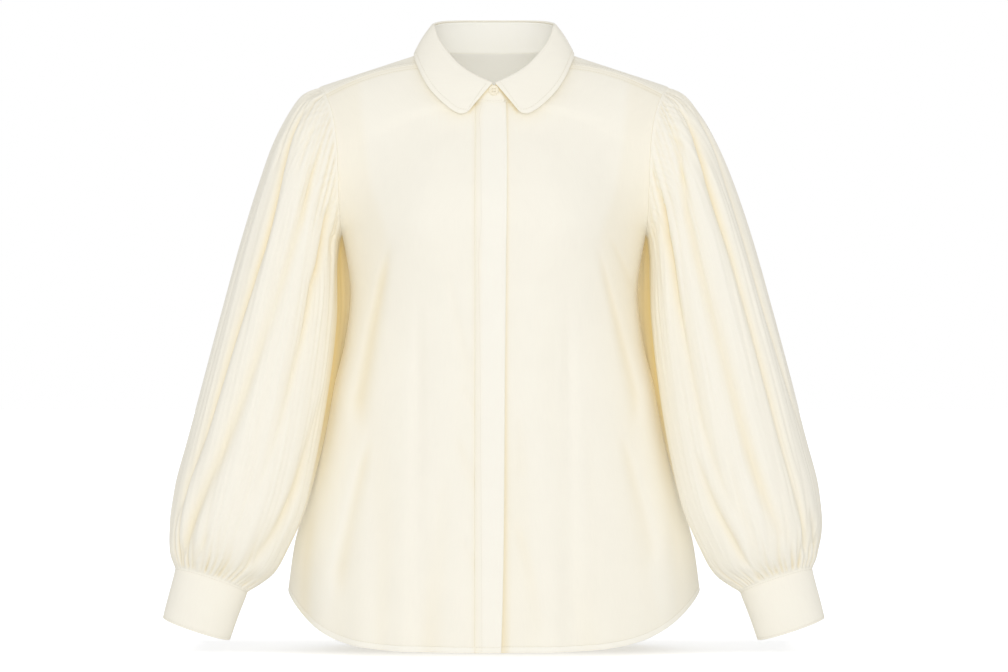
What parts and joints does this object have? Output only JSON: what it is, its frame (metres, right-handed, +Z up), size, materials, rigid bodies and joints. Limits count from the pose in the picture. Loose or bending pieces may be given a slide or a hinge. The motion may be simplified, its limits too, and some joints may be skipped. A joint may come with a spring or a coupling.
{
  "type": "button-up shirt",
  "caption": "Long-sleeved button-up blouse with a small collar on a stand, covered placket, yoke, gathered full sleeves, deep cuffs and a curved hem, held in its worn shape.",
  "frame": {"origin": "midway between the two points where the shoulder lines meet the neck, on the garment's middle plane, at the height of those points", "axes": "+X the wearer's left, -Y the front, +Z up towards the collar"},
  "size_m": [0.744, 0.2839, 0.7283],
  "materials": {
    "back": "matte fine crepe, ivory, soft sheen",
    "button_band": "matte fine crepe, ivory, soft sheen",
    "collar": "matte fine crepe, ivory, soft sheen",
    "collar_stand": "matte fine crepe, ivory, soft sheen",
    "cuff_left": "matte fine crepe, ivory, soft sheen",
    "cuff_right": "matte fine crepe, ivory, soft sheen",
    "front_left": "matte fine crepe, ivory, soft sheen",
    "front_right": "matte fine crepe, ivory, soft sheen",
    "neck_button": "polished cream plastic, gently glossy",
    "placket_button": "polished cream plastic, gently glossy",
    "placket_cover": "matte fine crepe, ivory, soft sheen",
    "sleeve_left": "matte fine crepe, ivory, soft sheen",
    "sleeve_right": "matte fine crepe, ivory, soft sheen",
    "yoke": "matte fine crepe, ivory, soft sheen"
  },
  "bodies": {
    "root": {"back": "back", "button_band": "button_band", "collar": "collar", "collar_stand": "collar_stand", "cuff_left": "cuff_left", "cuff_right": "cuff_right", "front_left": "front_left", "front_right": "front_right", "neck_button": "neck_button", "placket_button_1": "placket_button", "placket_button_2": "placket_button", "placket_button_3": "placket_button", "placket_button_4": "placket_button", "placket_button_5": "placket_button", "placket_cover": "placket_cover", "sleeve_left": "sleeve_left", "sleeve_right": "sleeve_right", "yoke": "yoke"}
  },
  "joints": []
}
